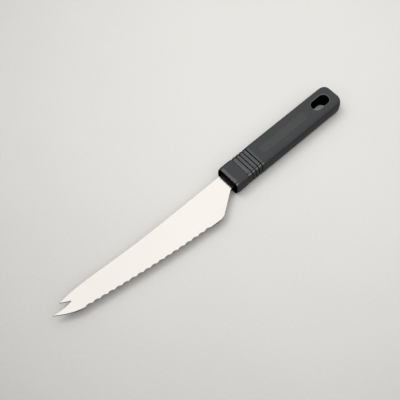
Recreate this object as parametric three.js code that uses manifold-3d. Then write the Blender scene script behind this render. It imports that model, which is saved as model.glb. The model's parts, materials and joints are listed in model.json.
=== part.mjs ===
// Hard cheese knife: a stamped steel blade with a forked tip and a scalloped edge. Its tang is held by a
// moulded core inside a hollow moulded handle. The knife lies on its side, as on a table.
//
// Millimetres. +X runs from the fork to the handle's end, +Y from the cutting edge to the spine, +Z up.
// Places are measured from the handle's mouth (x = 0), its centre line (y = 0) and the middle of the
// blade's thickness (z = 0). At the end the knife is set down with its origin under the middle of its box.

import * as THREE from 'three';
import { mergeVertices } from 'three/addons/utils/BufferGeometryUtils.js';
import Module from 'manifold-3d';

const wasm = await Module();
wasm.setup();

// Handle body
const HANDLE_LENGTH = 117.5;
const HANDLE_WIDTH_FRONT = 22.8;
const HANDLE_WIDTH_BACK = 22.6;
const HANDLE_THICKNESS = 15.2;
const HANDLE_WALL = 2.5; // skin around the bore that holds the core
const SIDE_ROUNDING = 3.9; // how far the rounded side reaches in from the widest place
const SIDE_FULLNESS = 2.5; // exponent of the side's curve, where 2 is an ellipse
const END_CORNER_RADIUS = 7.2; // seen from above
const END_EDGE_LENGTH = 3.7; // rounded upper and lower edges of the end, along the handle
const END_EDGE_HEIGHT = 5.2; // the same edges, through the thickness

// Handle collar and rings
const COLLAR_LENGTH = 12.2;
const COLLAR_BEVEL_LENGTH = 2.3;
const COLLAR_BEVEL_HEIGHT = 0.7;
const COLLAR_GAP = 0.5; // narrow groove between the collar and the first ring
const MOUTH_DEPTH = 2.4; // from the rim back to the core's face
const RING_COUNT = 4;
const FIRST_RING_LENGTH = 3.2;
const RING_LENGTH = 2.4;
const RING_DIP = 0.7; // how far each ring starts below the skin, at its front
const RING_CREST = 0.1; // how far each ring ends below the skin, at its back
const GROOVE_WIDTH = 1;
const GROOVE_DEPTH = 1.6; // above and below
const SIDE_GROOVE_DEPTH = 0.8;
const SIDE_CUT_SHARE = 0.5; // depth of bevels and rings at the sides, as a share of that above
const BODY_BEVEL_LENGTH = 1.8;
const BODY_BEVEL_HEIGHT = 0.4;

// Hanging hole and label recess
const HOLE_LENGTH = 17.3;
const HOLE_WIDTH = 9.4;
const HOLE_FROM_END = 16.75; // hole centre to the handle's end
const HOLE_EDGE_RADIUS = 0.5;
const HOLE_BRIDGE = 9.6; // solid plastic between the bore and the hole
const LABEL_WIDTH = 6.2;
const LABEL_DEPTH = 0.3;
const LABEL_SETBACK = 8.2; // from the last groove to the recess
const LABEL_TO_HOLE = 7.85;

// Blade
const BLADE_LENGTH = 168.4; // mouth to the tip of the longer prong
const BLADE_THICKNESS = 1.1;
const NECK_CLEARANCE = 1.8; // between the neck's sides and the bore, on average
const NECK_OFFSET = 0.4; // the neck's middle lies this far towards the spine
const NECK_LENGTH = 3.1; // from the mouth out to the heel slope
const NECK_FILLET = 1.5;
const SPINE_STRAIGHT = 60; // straight part of the spine, from the mouth
const CREST_HEIGHT = 10.05; // highest place of the spine, above the centre line
const CREST_SETBACK = 26.7; // the same place, back from the tip
const SPINE_EASE_OUT = 0.55; // where the spine's rise leaves the straight, as a share of the rise
const SPINE_EASE_IN = 0.76; // where it levels out at the crest
const HEEL_DROP = 20.7; // deepest place of the edge, below the centre line
const HEEL_SETBACK = 23.5; // the heel's corner, from the mouth
const HEEL_ROUNDING = 3;

// Fork, set back from the longer prong's tip
const TIP_HEIGHT = 4.3;
const SHORT_PRONG_SETBACK = 9.9;
const SHORT_PRONG_HEIGHT = 8.8;
const PRONG_BACK_SETBACK = 16.7; // where the short prong's back starts to fall from the crest's level
const NOTCH_SETBACK = 17.5;
const NOTCH_HEIGHT = 4.3;
const NOTCH_ROUNDING = 0.9;
const PRONG_HOLLOW_SETBACK = 10.5; // the hollow in the longer prong's inner edge
const PRONG_HOLLOW_HEIGHT = 2.6;
const BELLY_BEND_SETBACK = 12.1;
const BELLY_BEND_DROP = 4.45;
const BELLY_LENGTH = 21.7; // plain edge from the tip to the first scallop
const BELLY_DROP = 6.1;
const EDGE_BEND_REACH = 70; // how far the belly's end slope is carried before the edge bends to the heel

// Scallops, ground from the underside only
const SCALLOP_PITCH = 6.17;
const SCALLOP_DEPTH = 1;
const SCALLOP_BEVEL = THREE.MathUtils.degToRad(20);
const PLAIN_HEEL = 8; // least length of plain edge in front of the heel's corner

// Tang and core
const FIT_GAP = 0.3; // core to bore, tang to core, neck to core
const CORE_SIDE_WALL = 2.2; // beside the tang
const CORE_END_WALL = 7; // behind the tang
const TANG_END_RADIUS = 4;
const LOCK_HOLE_DIAMETER = 5;
const LOCK_HOLE_SETBACK = 14; // from the tang's shoulder and from its end

// Fineness of the curves
const SECTION_STEPS = 8;
const END_STEPS = 8;
const HOLE_STEPS = 12;
const HOLE_EDGE_STEPS = 3;
const OUTLINE_STEPS = 16;
const GRINDER_SIDES = 120;
const CUT_PAST = 1; // how far a cutting shape runs past the face that it cuts

// Sizes that follow from the ones above
const halfThickness = HANDLE_THICKNESS / 2;
const boreHalfWidth = Math.min(HANDLE_WIDTH_FRONT, HANDLE_WIDTH_BACK) / 2 - HANDLE_WALL;
const boreHalfHeight = halfThickness - HANDLE_WALL;
const holeX = HANDLE_LENGTH - HOLE_FROM_END;
const boreDepth = holeX - HOLE_LENGTH / 2 - HOLE_BRIDGE;
const ringsStart = COLLAR_LENGTH + COLLAR_GAP;
const bodyStart =
  ringsStart + FIRST_RING_LENGTH + (RING_COUNT - 1) * RING_LENGTH + RING_COUNT * GROOVE_WIDTH;
const coreHalfWidth = boreHalfWidth - FIT_GAP;
const coreEnd = boreDepth - FIT_GAP;
const neckHalfWidth = boreHalfWidth - NECK_CLEARANCE;
const neckTop = NECK_OFFSET + neckHalfWidth;
const neckBottom = NECK_OFFSET - neckHalfWidth;
const shoulderX = MOUTH_DEPTH - FIT_GAP;
const tangHalfWidth = coreHalfWidth - CORE_SIDE_WALL;
const tangEnd = coreEnd - CORE_END_WALL;
const lockHolePlaces = [shoulderX + LOCK_HOLE_SETBACK, tangEnd - LOCK_HOLE_SETBACK];

// A closed body through loops of equal point count. Each loop runs anticlockwise as seen from ahead.
function loft(loops) {
  const count = loops[0].length;
  const last = (loops.length - 1) * count;
  const triangles = [];
  for (let ring = 0; ring + 1 < loops.length; ring += 1) {
    for (let side = 0; side < count; side += 1) {
      const a = ring * count + side;
      const b = ring * count + ((side + 1) % count);
      triangles.push(a, b, a + count, b, b + count, a + count);
    }
  }
  for (let side = 1; side + 1 < count; side += 1) {
    triangles.push(0, side + 1, side);
    triangles.push(last, last + side, last + side + 1);
  }
  const geometry = new THREE.BufferGeometry().setFromPoints(loops.flat());
  geometry.setIndex(triangles);
  return geometry;
}

// A closed geometry as a solid that can be cut.
function solidFrom(geometry) {
  const bare = geometry.clone();
  bare.deleteAttribute('normal');
  bare.deleteAttribute('uv');
  const merged = mergeVertices(bare);
  const vertProperties = new Float32Array(merged.attributes.position.array);
  const triVerts = new Uint32Array(merged.index.array);
  return new wasm.Manifold(new wasm.Mesh({ numProp: 3, vertProperties, triVerts }));
}

function geometryFrom(solid) {
  const { vertProperties, triVerts } = solid.getMesh();
  const geometry = new THREE.BufferGeometry();
  geometry.setAttribute('position', new THREE.Float32BufferAttribute(vertProperties, 3));
  geometry.setIndex(Array.from(triVerts));
  return geometry;
}

// Cross-section of the handle's kind: flat above and below, full curves at both sides.
function sectionLoop(x, halfWidth, halfHeight, rounding) {
  const quarter = [];
  for (let step = 0; step <= SECTION_STEPS; step += 1) {
    const angle = (step / SECTION_STEPS) * (Math.PI / 2);
    const y = halfWidth - rounding + rounding * Math.cos(angle) ** (2 / SIDE_FULLNESS);
    const z = halfHeight * Math.sin(angle) ** (2 / SIDE_FULLNESS);
    quarter.push([y, z]);
  }
  const upper = [...quarter, ...quarter.toReversed().map(([y, z]) => [-y, z])];
  const lower = upper.slice(1, -1).toReversed().map(([y, z]) => [y, -z]);
  return [...upper, ...lower].map(([y, z]) => new THREE.Vector3(x, y, z));
}

// Slot with round ends, grown all round by the given amount.
function slotLoop(x, z, length, width, grow) {
  const radius = width / 2 + grow;
  const reach = (length - width) / 2;
  const points = [];
  for (let step = 0; step <= 2 * HOLE_STEPS + 1; step += 1) {
    const second = step > HOLE_STEPS;
    const turn = second ? step - 1 : step;
    const angle = (turn / HOLE_STEPS - 0.5) * Math.PI;
    const centre = second ? x - reach : x + reach;
    points.push(new THREE.Vector3(centre + radius * Math.cos(angle), radius * Math.sin(angle), z));
  }
  return points;
}

function handleHalfWidth(x) {
  return THREE.MathUtils.lerp(HANDLE_WIDTH_FRONT, HANDLE_WIDTH_BACK, x / HANDLE_LENGTH) / 2;
}

// Sections over the collar and the rings, each set in from the full section by its bevel, ring or groove.
function frontLoops() {
  const inset = (x, above, side) =>
    sectionLoop(x, handleHalfWidth(x) - side, halfThickness - above, SIDE_ROUNDING);
  const skin = (x, above) => inset(x, above, SIDE_CUT_SHARE * above);
  const groove = (start, end) => [start, end].map((x) => inset(x, GROOVE_DEPTH, SIDE_GROOVE_DEPTH));

  const loops = [skin(0, COLLAR_BEVEL_HEIGHT), skin(COLLAR_BEVEL_LENGTH, 0), skin(COLLAR_LENGTH, 0)];
  loops.push(...groove(COLLAR_LENGTH, ringsStart));
  let x = ringsStart;
  for (let ring = 0; ring < RING_COUNT; ring += 1) {
    const crest = x + (ring === 0 ? FIRST_RING_LENGTH : RING_LENGTH);
    loops.push(skin(x, RING_DIP), skin(crest, RING_CREST), ...groove(crest, crest + GROOVE_WIDTH));
    x = crest + GROOVE_WIDTH;
  }
  loops.push(skin(bodyStart, BODY_BEVEL_HEIGHT), skin(bodyStart + BODY_BEVEL_LENGTH, 0));
  return loops;
}

// Sections that round the handle's end, in plan and through the thickness.
function endLoops() {
  const loops = [];
  for (let step = 0; step <= END_STEPS; step += 1) {
    const angle = (step / END_STEPS) * (Math.PI / 2);
    const x = HANDLE_LENGTH - END_CORNER_RADIUS * (1 - Math.sin(angle));
    const halfWidth = handleHalfWidth(x) - END_CORNER_RADIUS * (1 - Math.cos(angle));
    const along = Math.max(0, x - (HANDLE_LENGTH - END_EDGE_LENGTH)) / END_EDGE_LENGTH;
    const halfHeight = halfThickness - END_EDGE_HEIGHT * (1 - Math.sqrt(1 - Math.min(along, 1) ** 2));
    loops.push(sectionLoop(x, halfWidth, halfHeight, Math.min(SIDE_ROUNDING, halfWidth)));
  }
  return loops;
}

// The skin and the bore are one loft: from the bore's end out to the mouth, then back over the outside.
function makeHandle() {
  const bore = [boreDepth, 0].map((x) => sectionLoop(x, boreHalfWidth, boreHalfHeight, SIDE_ROUNDING));
  const body = solidFrom(loft([...bore, ...frontLoops(), ...endLoops()]));
  return geometryFrom(body.subtract(hangingHole()).subtract(labelRecess()));
}

function hangingHole() {
  const rim = [];
  for (let step = 0; step <= HOLE_EDGE_STEPS; step += 1) {
    const angle = (step / HOLE_EDGE_STEPS) * (Math.PI / 2);
    const height = halfThickness - HOLE_EDGE_RADIUS * (1 - Math.sin(angle));
    rim.push([height, HOLE_EDGE_RADIUS * (1 - Math.cos(angle))]);
  }
  rim.push([halfThickness + CUT_PAST, HOLE_EDGE_RADIUS]);
  const levels = [...rim.toReversed().map(([height, grow]) => [-height, grow]), ...rim];
  return solidFrom(loft(levels.map(([z, grow]) => slotLoop(holeX, z, HOLE_LENGTH, HOLE_WIDTH, grow))));
}

function labelRecess() {
  const start = bodyStart + LABEL_SETBACK;
  const end = holeX - HOLE_LENGTH / 2 - LABEL_TO_HOLE;
  const levels = [halfThickness - LABEL_DEPTH, halfThickness + CUT_PAST];
  return solidFrom(loft(levels.map((z) => slotLoop((start + end) / 2, z, end - start, LABEL_WIDTH, 0))));
}

// A flat outline with the given thickness, centred on z = 0.
function plate(shape, thickness) {
  const geometry = new THREE.ExtrudeGeometry(shape, {
    depth: thickness,
    bevelEnabled: false,
    curveSegments: OUTLINE_STEPS,
  });
  return geometry.translate(0, 0, -thickness / 2);
}

// Adds the tang to an outline, from its lower shoulder round the end to its upper shoulder.
function addTang(shape, startX, grow) {
  const halfWidth = tangHalfWidth + grow;
  const radius = TANG_END_RADIUS + grow;
  const endX = tangEnd + grow;
  shape.lineTo(startX, -halfWidth);
  shape.absarc(endX - radius, radius - halfWidth, radius, -Math.PI / 2, 0);
  shape.absarc(endX - radius, halfWidth - radius, radius, 0, Math.PI / 2);
  shape.lineTo(startX, halfWidth);
}

function addLockHoles(shape, radius) {
  for (const x of lockHolePlaces) {
    shape.holes.push(new THREE.Path().absarc(x, 0, radius, 0, 2 * Math.PI));
  }
}

// The cutting edge before grinding, from the end of the belly to the heel's rounded corner.
function edgeCurve() {
  const bellyEnd = new THREE.Vector2(BELLY_LENGTH - BLADE_LENGTH, -BELLY_DROP);
  const bellyBend = new THREE.Vector2(BELLY_BEND_SETBACK - BLADE_LENGTH, -BELLY_BEND_DROP);
  const slope = bellyEnd.clone().sub(bellyBend);
  const bend = bellyEnd.clone().addScaledVector(slope, EDGE_BEND_REACH / slope.x);
  const heel = new THREE.Vector2(-HEEL_SETBACK - HEEL_ROUNDING, -HEEL_DROP);
  return new THREE.QuadraticBezierCurve(bellyEnd, bend, heel);
}

function bladeOutline() {
  const tipX = -BLADE_LENGTH;
  const crestX = tipX + CREST_SETBACK;
  const rise = crestX + SPINE_STRAIGHT;
  const shape = new THREE.Shape();

  shape.moveTo(shoulderX, neckTop);
  shape.lineTo(-SPINE_STRAIGHT, neckTop);
  shape.bezierCurveTo(
    -SPINE_STRAIGHT + SPINE_EASE_OUT * rise, neckTop,
    -SPINE_STRAIGHT + SPINE_EASE_IN * rise, CREST_HEIGHT,
    crestX, CREST_HEIGHT,
  );

  const notch = new THREE.Vector2(tipX + NOTCH_SETBACK, NOTCH_HEIGHT);
  const shortProng = new THREE.Vector2(tipX + SHORT_PRONG_SETBACK, SHORT_PRONG_HEIGHT);
  const hollow = new THREE.Vector2(tipX + PRONG_HOLLOW_SETBACK, PRONG_HOLLOW_HEIGHT);
  const alongNotch = (end) => end.clone().sub(notch).setLength(NOTCH_ROUNDING).add(notch);
  const notchStart = alongNotch(shortProng);
  const notchEnd = alongNotch(hollow);
  shape.quadraticCurveTo(tipX + PRONG_BACK_SETBACK, CREST_HEIGHT, shortProng.x, shortProng.y);
  shape.lineTo(notchStart.x, notchStart.y);
  shape.quadraticCurveTo(notch.x, notch.y, notchEnd.x, notchEnd.y);
  shape.quadraticCurveTo(hollow.x, hollow.y, tipX, TIP_HEIGHT);

  const edge = edgeCurve();
  shape.quadraticCurveTo(tipX + BELLY_BEND_SETBACK, -BELLY_BEND_DROP, edge.v0.x, edge.v0.y);
  shape.quadraticCurveTo(edge.v1.x, edge.v1.y, edge.v2.x, edge.v2.y);

  const heel = new THREE.Vector2(-HEEL_SETBACK, -HEEL_DROP);
  const neck = new THREE.Vector2(-NECK_LENGTH, neckBottom);
  const slope = neck.clone().sub(heel).normalize();
  const slopeStart = heel.clone().addScaledVector(slope, HEEL_ROUNDING);
  const slopeEnd = neck.clone().addScaledVector(slope, -NECK_FILLET);
  shape.quadraticCurveTo(heel.x, heel.y, slopeStart.x, slopeStart.y);
  shape.lineTo(slopeEnd.x, slopeEnd.y);
  shape.quadraticCurveTo(neck.x, neck.y, neck.x + NECK_FILLET, neck.y);
  shape.lineTo(shoulderX, neckBottom);
  addTang(shape, shoulderX, 0);
  shape.closePath();
  addLockHoles(shape, LOCK_HOLE_DIAMETER / 2);
  return shape;
}

// One grinding wheel for each scallop. The wheel's axis leans out of the blade's plane by the bevel's angle.
// Its surface meets the blade's upper face in an arc of the scallop's pitch and depth.
function scallopWheels() {
  const sine = Math.sin(SCALLOP_BEVEL);
  const cosine = Math.cos(SCALLOP_BEVEL);
  const edge = edgeCurve();
  const edgeLength = edge.getLength();
  const count = Math.floor((edgeLength - PLAIN_HEEL) / SCALLOP_PITCH);
  const depth = SCALLOP_DEPTH * sine;
  const radius = SCALLOP_PITCH ** 2 / (8 * depth) + depth / 2;
  const length = 2 * (BLADE_THICKNESS / sine + CUT_PAST + SCALLOP_DEPTH);
  const wheels = [];
  for (let scallop = 0; scallop < count; scallop += 1) {
    const along = ((scallop + 0.5) * SCALLOP_PITCH) / edgeLength;
    const place = edge.getPointAt(along);
    const tangent = edge.getTangentAt(along);
    const across = new THREE.Vector3(tangent.x, tangent.y, 0);
    const inward = new THREE.Vector3(-tangent.y, tangent.x, 0);
    const up = new THREE.Vector3(0, 0, 1);
    const axis = inward.clone().multiplyScalar(cosine).addScaledVector(up, -sine);
    const facing = inward.clone().multiplyScalar(sine).addScaledVector(up, cosine);
    const centre = new THREE.Vector3(place.x, place.y, BLADE_THICKNESS / 2)
      .addScaledVector(inward, SCALLOP_DEPTH)
      .addScaledVector(facing, -radius);
    const turned = new THREE.Matrix4().makeBasis(across, axis, across.clone().cross(axis));
    const wheel = new THREE.CylinderGeometry(radius, radius, length, GRINDER_SIDES);
    wheels.push(solidFrom(wheel.applyMatrix4(turned.setPosition(centre))));
  }
  return wheels;
}

function makeBlade() {
  const sheet = solidFrom(plate(bladeOutline(), BLADE_THICKNESS));
  return geometryFrom(scallopWheels().reduce((blade, wheel) => blade.subtract(wheel), sheet));
}

// The core wraps the tang and reaches through its locking holes.
function makeCore() {
  const ends = [MOUTH_DEPTH, coreEnd];
  const halfHeight = boreHalfHeight - FIT_GAP;
  const bar = loft(ends.map((x) => sectionLoop(x, coreHalfWidth, halfHeight, SIDE_ROUNDING - FIT_GAP)));
  const slot = new THREE.Shape();
  slot.moveTo(MOUTH_DEPTH - CUT_PAST, tangHalfWidth + FIT_GAP);
  addTang(slot, MOUTH_DEPTH - CUT_PAST, FIT_GAP);
  slot.closePath();
  addLockHoles(slot, LOCK_HOLE_DIAMETER / 2 - FIT_GAP);
  return geometryFrom(solidFrom(bar).subtract(solidFrom(plate(slot, BLADE_THICKNESS + 2 * FIT_GAP))));
}

function piece(name, geometry, color, roughness, metalness) {
  const material = new THREE.MeshStandardMaterial({ color, roughness, metalness, flatShading: true });
  const mesh = new THREE.Mesh(geometry, material);
  mesh.name = name;
  return mesh;
}

const knife = new THREE.Group();
knife.add(piece('blade', makeBlade(), 0xd9d6d1, 0.25, 1));
knife.add(piece('handle', makeHandle(), 0x47494b, 0.55, 0));
knife.add(piece('tang_core', makeCore(), 0x2e2f30, 0.6, 0));

// Sets the knife down flat, with the origin under the middle of its box.
const box = new THREE.Box3().setFromObject(knife);
const middle = box.getCenter(new THREE.Vector3());
knife.position.set(-middle.x, -middle.y, -box.min.z);

export default knife;
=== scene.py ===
"""Hard cheese knife: a forked, scalloped steel blade in a moulded plastic handle.

The knife lies on its side. +X runs from the fork to the handle's end, +Y from the cutting edge to the spine
and +Z up. Shapes are drawn from the handle's mouth, on its centre line and halfway up its thickness.
"""

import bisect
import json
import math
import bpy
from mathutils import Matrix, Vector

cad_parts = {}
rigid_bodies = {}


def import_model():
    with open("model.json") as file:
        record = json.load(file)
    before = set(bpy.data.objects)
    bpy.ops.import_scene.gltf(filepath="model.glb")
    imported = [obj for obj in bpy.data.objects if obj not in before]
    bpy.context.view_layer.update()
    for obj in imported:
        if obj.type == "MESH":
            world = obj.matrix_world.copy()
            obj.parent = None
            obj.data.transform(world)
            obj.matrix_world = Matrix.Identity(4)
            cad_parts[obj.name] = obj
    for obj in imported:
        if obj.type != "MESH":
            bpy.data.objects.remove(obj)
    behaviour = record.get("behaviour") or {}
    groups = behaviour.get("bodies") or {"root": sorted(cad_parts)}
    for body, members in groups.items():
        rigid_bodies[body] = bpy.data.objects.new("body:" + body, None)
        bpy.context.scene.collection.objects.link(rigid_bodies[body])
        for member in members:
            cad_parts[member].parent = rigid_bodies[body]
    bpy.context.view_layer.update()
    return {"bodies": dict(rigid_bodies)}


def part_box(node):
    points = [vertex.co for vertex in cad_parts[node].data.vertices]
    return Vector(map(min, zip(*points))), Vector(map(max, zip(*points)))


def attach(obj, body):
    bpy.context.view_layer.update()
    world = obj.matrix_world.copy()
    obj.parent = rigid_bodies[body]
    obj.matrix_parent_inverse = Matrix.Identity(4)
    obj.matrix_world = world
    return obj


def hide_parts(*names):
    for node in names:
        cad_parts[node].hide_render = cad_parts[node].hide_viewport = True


bl_info = {
    "name": "Hard Cheese Knife",
    "version": (1, 0, 0),
    "blender": (4, 5, 0),
    "location": "View3D > Sidebar > Knife",
    "description": "Builds a hard cheese knife with a forked blade and a moulded handle",
    "category": "Add Mesh",
}

import bmesh
import bpy
from bpy.props import FloatProperty, FloatVectorProperty, IntProperty, PointerProperty
from mathutils import Vector

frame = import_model()

MM = 0.001

# The knife is one rigid body
(BODY,) = frame["bodies"]

# Corners of the packed pieces, and the place that shapes are drawn from
HANDLE_LOW, HANDLE_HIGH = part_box("handle")
BLADE_LOW, BLADE_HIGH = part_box("blade")
CORE_LOW, CORE_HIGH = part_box("tang_core")
HANDLE_MIDDLE = (HANDLE_LOW + HANDLE_HIGH) / 2
MOUTH = Vector((HANDLE_LOW.x, HANDLE_MIDDLE.y, HANDLE_MIDDLE.z))

# Fineness of the curves
SECTION_STEPS = 24
END_STEPS = 28
HOLE_STEPS = 40
ROUND_STEPS = 8
CURVE_STEPS = 64
EDGE_STEPS = 512
SCALLOP_STEPS = 24
CIRCLE_STEPS = 48
FALL_STEPS = 5

# Points this near are welded, and a cutter stands this far out of the face that it opens
WELD_DISTANCE = 0.0001 * MM
CUT_PAST = 1 * MM

# Most of a straight stretch that the rounding of one corner takes up
MOST_EASE = 0.45

# Angles in degrees from which an edge is shaded crisply, and an outline's corner counts as sharp
MOULDED_CREASE = 35
STEEL_CREASE = 50
GROUND_CREASE = 10
SHARP_CORNER = 25

# Finishes of the handle's and of the blade's faces, by their place in the list of materials
# The recess finish is painted shade, and the rim finish is a paler rim with a painted highlight
SKIN, PAINTED_SHADE, LABEL, PALE_RIM_AND_HIGHLIGHT = range(4)
# The sheared finish is dull steel darkened as painted shade
SATIN, GROUND, SHEARED_AND_PAINTED_SHADE = range(3)

# Upright part of a blade face's normal: less is the stamped edge, and between the others is ground
LEAST_FLAT = 0.75
LEAST_GROUND, MOST_GROUND = 0.8, 0.99

# Usual range of a noise
NOISE_LOW, NOISE_HIGH = 0.3, 0.7

# Least roughness of the moulded plastics, and how far it rises in their duller places
SKIN_ROUGHNESS, LABEL_ROUGHNESS, RIM_ROUGHNESS = 0.32, 0.42, 0.38
ROUGHNESS_RISE = 0.1

# How far wear shows in the steel's and in the plastic's colour, and how far it smooths the plastic
STEEL_WEAR, PLASTIC_WEAR, WEAR_POLISH = 0.5, 0.6, 0.1

# Share of each of the two noises in the floor's mottle, which is also the mottle's mean
MOTTLE = 0.2

# Width of the camera's sensor, in mm
SENSOR_WIDTH = 36


def size(name, description, metres):
    """A length for the sidebar."""
    return FloatProperty(
        name=name, description=description, default=metres, min=0, unit="LENGTH", precision=5
    )


def share(name, description, value):
    """A plain number for the sidebar."""
    return FloatProperty(name=name, description=description, default=value, min=0)


def angle(name, description, degrees):
    """An angle for the sidebar."""
    return FloatProperty(name=name, description=description, default=math.radians(degrees), subtype="ANGLE")


def colour(name, description, value):
    """A linear colour for the sidebar."""
    return FloatVectorProperty(
        name=name, description=description, default=value, size=3, min=0, max=1, subtype="COLOR"
    )


def position(name, description, metres):
    """A point for the sidebar."""
    return FloatVectorProperty(
        name=name, description=description, default=metres, size=3, subtype="TRANSLATION", unit="LENGTH"
    )


def power(name, description, watts):
    """A lamp's power for the sidebar."""
    return FloatProperty(name=name, description=description, default=watts, min=0, subtype="POWER")


class HandleSizes(bpy.types.PropertyGroup):
    """Sizes of the handle's moulding."""

    length: size("Length", "Mouth to end", HANDLE_HIGH.x - HANDLE_LOW.x)
    front_width: size("Front width", "Width at the mouth", HANDLE_HIGH.y - HANDLE_LOW.y)
    back_width: size("Back width", "Width at the end", 22.6 * MM)
    thickness: size("Thickness", "Height as it lies", HANDLE_HIGH.z - HANDLE_LOW.z)
    side_rounding: size("Side rounding", "How far the curved side reaches in", 3.9 * MM)
    side_fullness: share("Side fullness", "Exponent of the side's curve, where 2 is an ellipse", 2.5)
    end_corner: size("End corner", "Corner radius of the end, seen from above", 7.2 * MM)
    end_edge_length: size("End edge length", "Rounded edges of the end, along the handle", 3.7 * MM)
    end_edge_height: size("End edge height", "Rounded edges of the end, through the thickness", 5.2 * MM)
    collar_length: size("Collar length", "Mouth to the first ring", 12.2 * MM)
    collar_bevel_length: size("Collar bevel length", "Bevel round the mouth, along the handle", 2.3 * MM)
    collar_bevel_height: size("Collar bevel height", "The same bevel, through the thickness", 0.7 * MM)
    collar_fall_length: size("Collar fall length", "Falling back of the collar, along the handle", 2.2 * MM)
    collar_fall_height: size("Collar fall height", "How far the collar's back falls", 0.2 * MM)
    collar_gap: size("Collar gap", "Gap between the collar and the first ring", 0.5 * MM)
    ring_count: IntProperty(name="Rings", description="Rings behind the collar", default=4, min=1)
    first_ring_length: size("First ring length", "Ring next to the collar", 3.2 * MM)
    ring_length: size("Ring length", "Each of the other rings", 2.4 * MM)
    first_ring_dip: size("First ring dip", "How far the first ring's front lies below the skin", 0.9 * MM)
    ring_dip: size("Ring dip", "How far another ring's front lies below the skin", 0.7 * MM)
    ring_crest: size("Ring crest", "How far a ring's back lies below the skin", 0.1 * MM)
    groove_width: size("Groove width", "Gap behind each ring", 1 * MM)
    groove_depth: size("Groove depth", "Depth of each gap, above and below", 1.6 * MM)
    side_groove_depth: size("Side groove depth", "Depth of each gap at the sides", 0.8 * MM)
    side_cut_share: share("Side cut share", "Bevels and rings at the sides, as a share of those above", 0.5)
    body_bevel_length: size("Body bevel length", "Bevel behind the last groove, along the handle", 1.8 * MM)
    body_bevel_height: size("Body bevel height", "The same bevel, through the thickness", 0.4 * MM)
    edge_ease: size("Edge ease", "Small rounding of every moulded edge", 0.12 * MM)
    hole_length: size("Hole length", "Hanging hole, along the handle", 17.3 * MM)
    hole_width: size("Hole width", "Hanging hole, across the handle", 9.4 * MM)
    hole_from_end: size("Hole from end", "Middle of the hole to the handle's end", 16.75 * MM)
    hole_edge: size("Hole edge", "Rounding of the hole's rim", 0.5 * MM)
    label_width: size("Label width", "Shallow recess, across the handle", 6.2 * MM)
    label_depth: size("Label depth", "Depth of the recess", 0.3 * MM)
    label_edge: size("Label edge", "Rounding of the recess's rim", 0.25 * MM)
    label_setback: size("Label setback", "Last groove to the recess", 8.2 * MM)
    label_to_hole: size("Label to hole", "Recess to the hole", 7.85 * MM)


class BladeSizes(bpy.types.PropertyGroup):
    """Sizes of the blade's sheet, its fork and its scalloped edge."""

    length: size("Length", "Mouth to the longer prong's tip", MOUTH.x - BLADE_LOW.x)
    thickness: size("Thickness", "Thickness of the sheet", BLADE_HIGH.z - BLADE_LOW.z)
    edge_ease: size("Edge ease", "Small chamfer of the stamped outline", 0.07 * MM)
    ease_runout: size("Ease run-out", "Where the chamfer fades before a sharp corner", 1 * MM)
    neck_half_width: size("Neck half width", "Half the width in the mouth", 7 * MM)
    neck_offset: size("Neck offset", "How far the neck's middle lies towards the spine", 0.4 * MM)
    neck_length: size("Neck length", "Mouth to the heel's slope", 3.1 * MM)
    neck_fillet: size("Neck fillet", "Rounding between neck and slope", 1.5 * MM)
    spine_straight: size("Straight spine", "Straight part of the spine, from the mouth", 60 * MM)
    crest_height: size("Crest height", "Highest place of the spine", BLADE_HIGH.y - MOUTH.y)
    crest_setback: size("Crest setback", "The same place, back from the tip", 26.7 * MM)
    spine_ease_out: share("Spine ease out", "Bend out of the straight, as a share of the rise", 0.55)
    spine_ease_in: share("Spine ease in", "Bend into the crest, as a share of the rise", 0.76)
    heel_drop: size("Heel drop", "Deepest place of the edge", MOUTH.y - BLADE_LOW.y)
    heel_setback: size("Heel setback", "Mouth to the heel's corner", 23.5 * MM)
    heel_rounding: size("Heel rounding", "Rounding of the heel's corner", 3 * MM)
    tip_height: size("Tip height", "Height of the longer prong's tip", 4.3 * MM)
    short_prong_setback: size("Short prong setback", "Back from the tip", 9.9 * MM)
    short_prong_height: size("Short prong height", "Height of the shorter prong's tip", 8.8 * MM)
    prong_back_setback: size("Prong back setback", "Start of the shorter prong's falling back", 16.7 * MM)
    notch_setback: size("Notch setback", "Back from the tip", 17.5 * MM)
    notch_height: size("Notch height", "Height of the notch's bottom", 4.3 * MM)
    notch_rounding: size("Notch rounding", "Rounding of the notch's bottom", 0.9 * MM)
    hollow_setback: size("Hollow setback", "Hollow inside the longer prong, back from the tip", 10.5 * MM)
    hollow_height: size("Hollow height", "Height of that hollow", 2.6 * MM)
    belly_bend_setback: size("Belly bend setback", "Bend of the plain belly, back from the tip", 12.1 * MM)
    belly_bend_drop: size("Belly bend drop", "Depth of that bend", 4.45 * MM)
    belly_length: size("Belly length", "Tip to the first scallop", 21.7 * MM)
    belly_drop: size("Belly drop", "Depth of the edge at the first scallop", 6.1 * MM)
    edge_bend_reach: size("Edge bend reach", "How far the belly's slope runs on towards the heel", 70 * MM)
    scallop_pitch: size("Scallop pitch", "Length of one scallop", 6.17 * MM)
    scallop_depth: size("Scallop depth", "Depth of one scallop", 1 * MM)
    scallop_bevel: angle("Scallop bevel", "Angle of the ground faces on the underside", 20)
    plain_heel: size("Plain heel", "Least plain edge in front of the heel", 8 * MM)


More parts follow.
